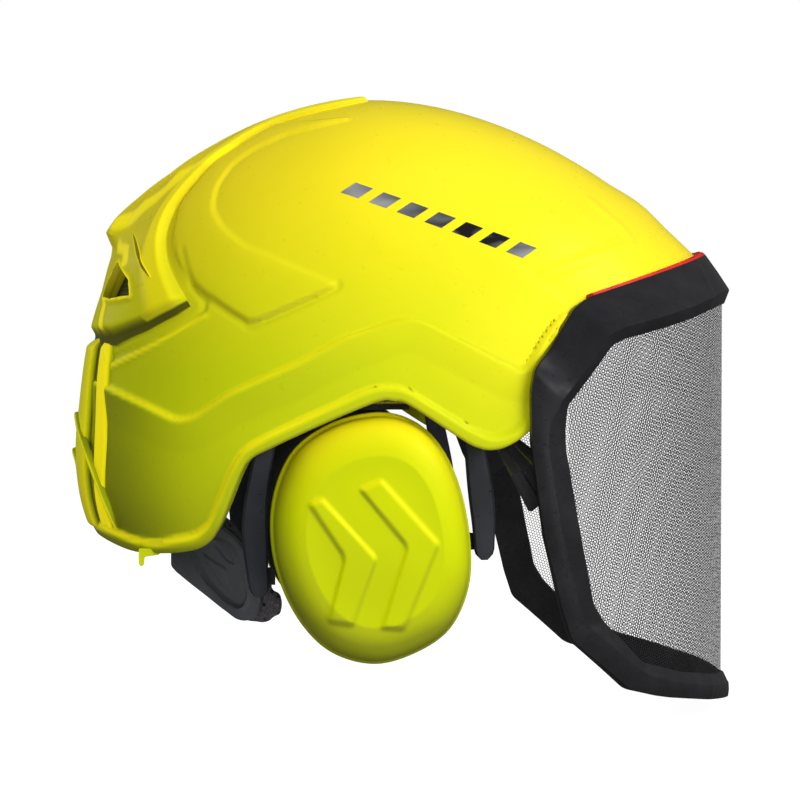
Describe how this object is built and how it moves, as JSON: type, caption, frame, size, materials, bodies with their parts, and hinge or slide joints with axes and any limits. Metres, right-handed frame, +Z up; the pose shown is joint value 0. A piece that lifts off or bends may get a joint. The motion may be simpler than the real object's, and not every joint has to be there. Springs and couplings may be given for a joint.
{
  "type": "forestry climbing helmet",
  "caption": "Hard-shell climbing helmet with a lifting face mesh, swing-out ear cups and a knob-fitted nape cradle.",
  "frame": {"origin": "centre of the head opening, level with the top of the ear cut-outs", "axes": "+X forward towards the visor, +Y to the wearer's left, +Z up towards the crown"},
  "size_m": [0.3136, 0.242, 0.292],
  "materials": {
    "shell_yellow": "gloss",
    "black_gloss": "gloss",
    "black_satin": "satin",
    "foam_black": "matte",
    "mesh_black": "satin",
    "seal_red": "satin",
    "webbing": "matte",
    "fabric_grey": "matte",
    "pin_steel": "satin",
    "cushion_vinyl": "satin"
  },
  "bodies": {
    "helmet": {"outer_shell": "shell_yellow", "rear_fairing": "shell_yellow", "tail_spine": "shell_yellow", "lamp_clip_upper": "shell_yellow", "lamp_clip_lower": "shell_yellow", "strap_hook_L": "shell_yellow", "strap_hook_R": "shell_yellow", "visor_catch_L": "black_satin", "visor_catch_R": "black_satin", "headband": "black_satin", "strap_anchor_front_left": "black_satin", "strap_anchor_front_right": "black_satin", "strap_anchor_rear_left": "black_satin", "strap_anchor_rear_right": "black_satin", "inner_liner": "foam_black", "vent_grille_L": "mesh_black", "vent_grille_R": "mesh_black", "crown_strap_left_front": "webbing", "crown_strap_right_front": "webbing", "sweat_pad": "fabric_grey", "crown_pad": "fabric_grey", "visor_pin_L": "pin_steel", "visor_pin_R": "pin_steel", "swing_pin_L": "pin_steel", "swing_pin_R": "pin_steel"},
    "visor": {"visor_frame": "black_gloss", "visor_mesh": "mesh_black", "visor_lip_seal": "seal_red", "visor_arm_L": "black_gloss", "visor_arm_R": "black_gloss"},
    "ear_carrier_R": {"ear_bracket_R": "black_satin"},
    "ear_bail_R": {"ear_yoke_R": "black_satin"},
    "ear_cup_R": {"cup_cover_R": "shell_yellow", "cup_base_R": "black_satin", "ear_cushion_R": "cushion_vinyl", "sound_foam_R": "foam_black", "cup_lug_front_R": "black_satin", "cup_lug_rear_R": "black_satin"},
    "ear_carrier_L": {"ear_bracket_L": "black_satin"},
    "ear_bail_L": {"ear_yoke_L": "black_satin"},
    "ear_cup_L": {"cup_cover_L": "shell_yellow", "cup_base_L": "black_satin", "ear_cushion_L": "cushion_vinyl", "sound_foam_L": "foam_black", "cup_lug_front_L": "black_satin", "cup_lug_rear_L": "black_satin"},
    "nape": {"nape_cradle": "black_satin", "nape_pad_L": "fabric_grey", "nape_pad_R": "fabric_grey", "nape_band": "black_satin", "knob_housing": "black_satin"},
    "knob": {"fit_knob": "black_gloss"}
  },
  "joints": [
    {"name": "visor_lift", "type": "hinge", "parent": "helmet", "child": "visor", "pos_m": [0.008, 0, 0.026], "axis": [0, -1, 0], "range_deg": [0, 46]},
    {"name": "ear_swing_R", "type": "hinge", "parent": "helmet", "child": "ear_carrier_R", "pos_m": [-0.022, -0.0965, 0.003], "axis": [-1, 0, 0], "range_deg": [0, 10]},
    {"name": "ear_height_R", "type": "slide", "parent": "ear_carrier_R", "child": "ear_bail_R", "axis": [0, 0, -1], "range_m": [0, 0.018]},
    {"name": "cup_tilt_R", "type": "hinge", "parent": "ear_bail_R", "child": "ear_cup_R", "pos_m": [0.03, -0.087, -0.061], "axis": [0.9892, 0, 0.1469], "range_deg": [-8, 8]},
    {"name": "ear_swing_L", "type": "hinge", "parent": "helmet", "child": "ear_carrier_L", "pos_m": [-0.022, 0.0965, 0.003], "axis": [1, 0, 0], "range_deg": [0, 10]},
    {"name": "ear_height_L", "type": "slide", "parent": "ear_carrier_L", "child": "ear_bail_L", "axis": [0, 0, -1], "range_m": [0, 0.018]},
    {"name": "cup_tilt_L", "type": "hinge", "parent": "ear_bail_L", "child": "ear_cup_L", "pos_m": [0.03, 0.087, -0.061], "axis": [0.9892, 0, 0.1469], "range_deg": [-8, 8]},
    {"name": "nape_fit_slide", "type": "slide", "parent": "helmet", "child": "nape", "axis": [1, 0, 0], "range_m": [0, 0.0157]},
    {"name": "knob_turn", "type": "hinge", "parent": "nape", "child": "knob", "pos_m": [-0.118, 0, -0.0385], "axis": [1, 0, 0], "range_deg": [0, 180]}
  ],
  "couplings": [
    {"joint": "knob_turn", "follows": "nape_fit_slide", "rad_per_m": 200}
  ]
}
